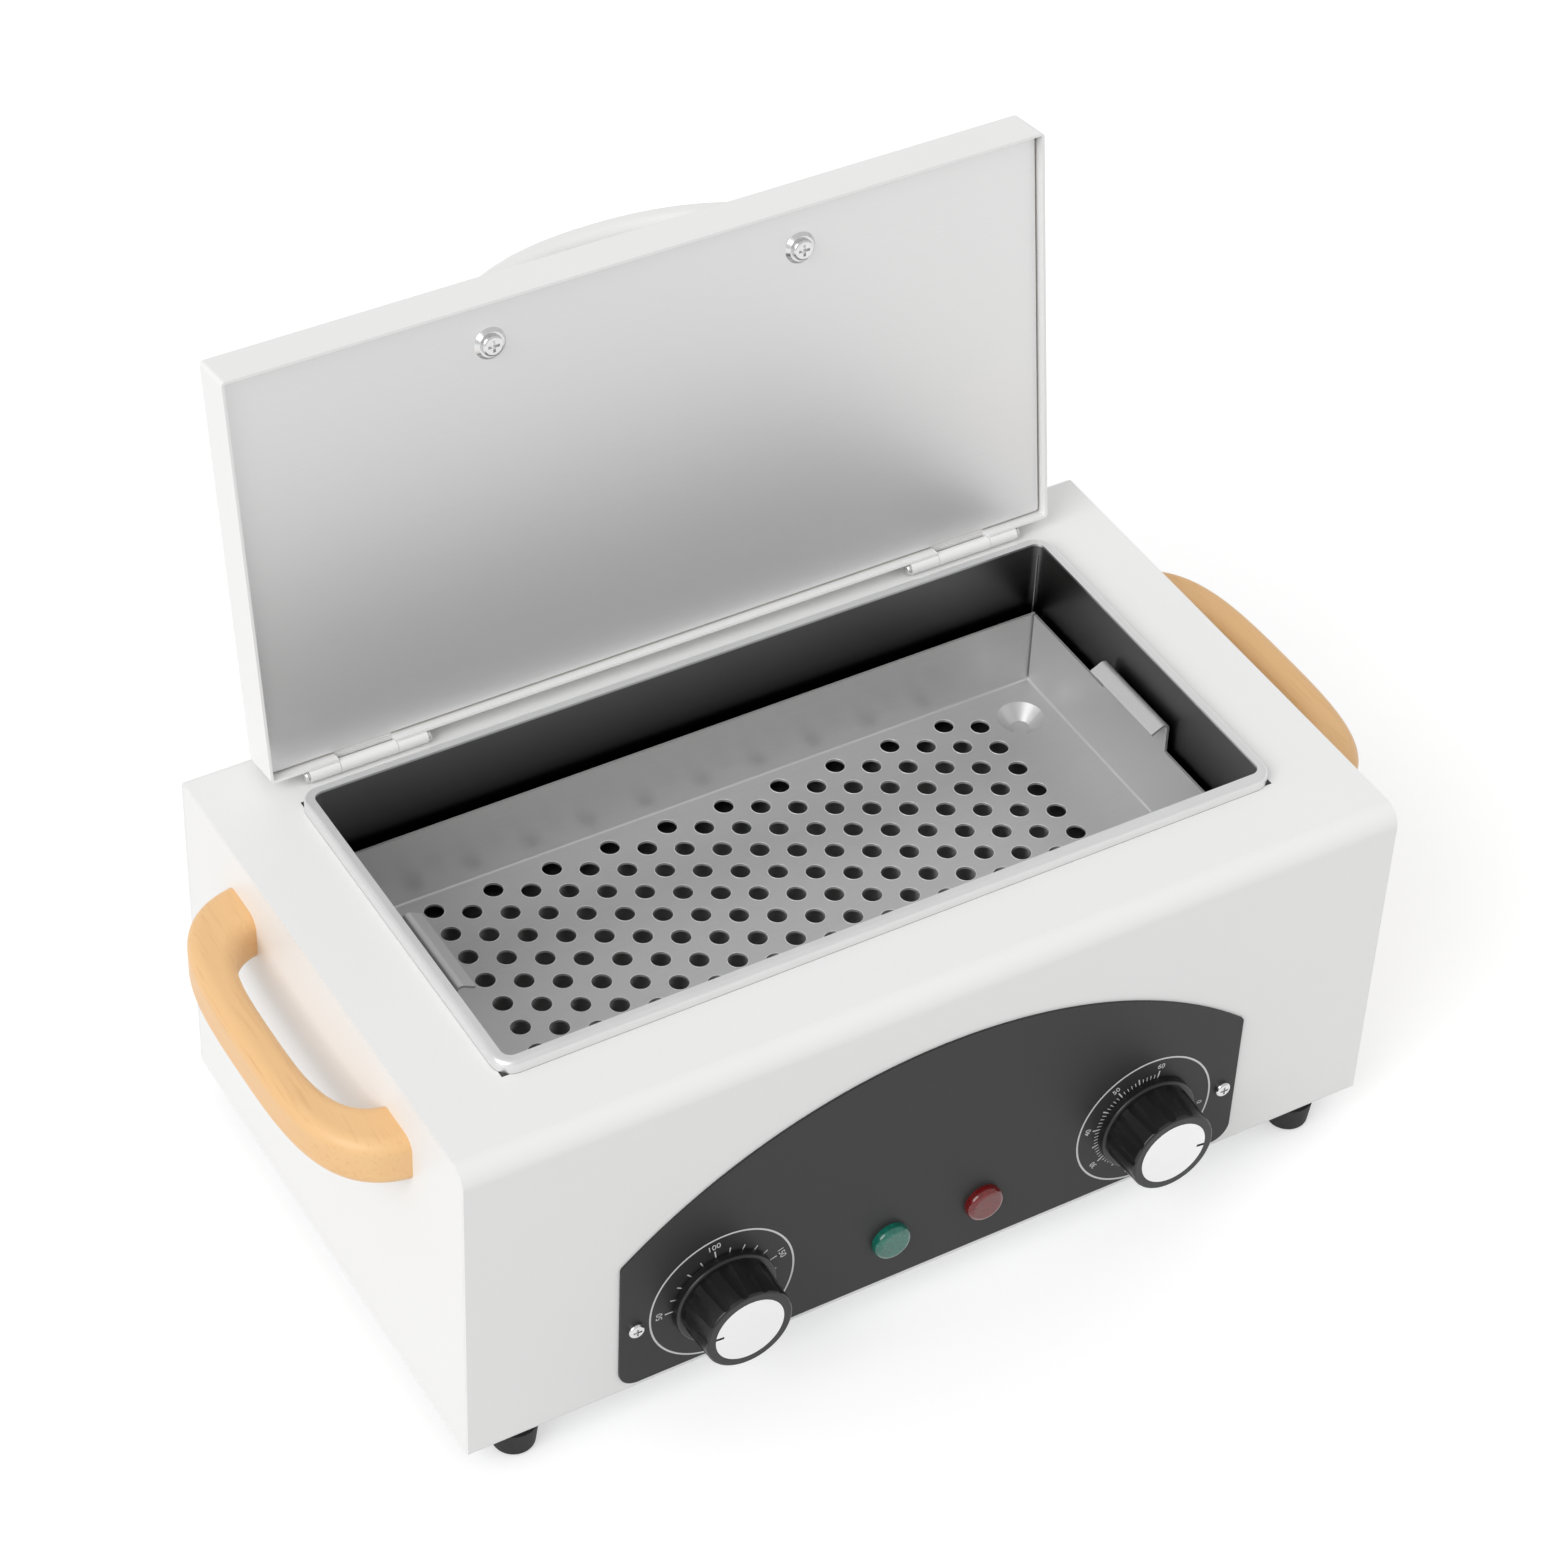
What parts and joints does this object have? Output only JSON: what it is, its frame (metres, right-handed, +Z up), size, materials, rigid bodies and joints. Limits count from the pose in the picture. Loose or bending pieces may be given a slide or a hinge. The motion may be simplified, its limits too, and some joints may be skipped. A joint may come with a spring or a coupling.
{
  "type": "dry heat sterilizer",
  "caption": "Desk-top dry heat sterilizer with a heated chamber, perforated tray, hinged lid, beech carrying handles and a panel with thermostat and timer dials.",
  "frame": {"origin": "on the standing surface under the middle of the housing", "axes": "+Z up, +X to the right as the operator faces the panel, +Y to the back where the lid is hinged"},
  "size_m": [0.349, 0.2291, 0.2557],
  "materials": {
    "white_paint": "semi-gloss white powder coat",
    "zinc_sheet": "galvanised sheet",
    "black_rubber": "matt black rubber",
    "zinc_steel": "bright zinc plate",
    "stainless": "satin stainless sheet",
    "mineral_wool": "mineral wool felt",
    "beech": "oiled beech",
    "bright_liner": "satin bright sheet",
    "white_plastic": "white moulded plastic",
    "panel_black": "satin dark grey print",
    "green_lens": "clear green lens",
    "red_lens": "clear red lens",
    "dark_plastic": "dark moulded plastic",
    "brass": "turned brass",
    "knob_black": "black moulded plastic",
    "silver_cap": "spun silver cap",
    "copper_tube": "drawn copper tube",
    "white_ceramic": "glazed white ceramic"
  },
  "bodies": {
    "housing": {"housing_shell": "white_paint", "left_side_panel": "white_paint", "right_side_panel": "white_paint", "base_plate": "zinc_sheet", "foot_front_left": "black_rubber", "foot_front_right": "black_rubber", "foot_back_left": "black_rubber", "foot_back_right": "black_rubber", "foot_screws": "zinc_steel", "foot_nuts": "zinc_steel", "chamber": "stainless", "insulation_jacket": "mineral_wool", "insulation_brackets": "zinc_sheet", "heating_element": "stainless", "element_straps": "zinc_sheet", "tray": "stainless", "left_handle": "beech", "right_handle": "beech", "handle_screws": "zinc_steel", "left_hinge_base_leaf": "white_paint", "right_hinge_base_leaf": "white_paint", "left_hinge_pin": "zinc_steel", "right_hinge_pin": "zinc_steel", "control_panel": "panel_black", "panel_screws": "zinc_steel", "green_lamp_lens": "green_lens", "red_lamp_lens": "red_lens", "green_lamp_holder": "dark_plastic", "red_lamp_holder": "dark_plastic", "thermostat_body": "dark_plastic", "timer_body": "dark_plastic", "thermostat_nut": "brass", "timer_nut": "brass", "sensing_bulb": "copper_tube", "cord_gland": "dark_plastic", "terminal_block": "white_ceramic"},
    "lid": {"lid_shell": "white_paint", "lid_liner": "bright_liner", "lid_insulation": "mineral_wool", "lid_handle": "white_plastic", "lid_screws": "zinc_steel", "lid_washers": "zinc_steel", "left_hinge_lid_leaf": "white_paint", "right_hinge_lid_leaf": "white_paint"},
    "thermostat_dial": {"thermostat_knob": "knob_black", "thermostat_knob_cap": "silver_cap", "thermostat_spindle": "brass"},
    "timer_dial": {"timer_knob": "knob_black", "timer_knob_cap": "silver_cap", "timer_spindle": "brass"}
  },
  "joints": [
    {"name": "lid_hinge", "type": "hinge", "parent": "housing", "child": "lid", "pos_m": [0, 0.0695, 0.1253], "axis": [1, 0, 0], "range_deg": [0, 98.5]},
    {"name": "thermostat_turn", "type": "hinge", "parent": "housing", "child": "thermostat_dial", "pos_m": [-0.0706, -0.0875, 0.0369], "axis": [0, 1, 0], "range_deg": [-5.6, 235.1]},
    {"name": "timer_turn", "type": "hinge", "parent": "housing", "child": "timer_dial", "pos_m": [0.0706, -0.0875, 0.0369], "axis": [0, 1, 0], "range_deg": [0, 274]}
  ]
}
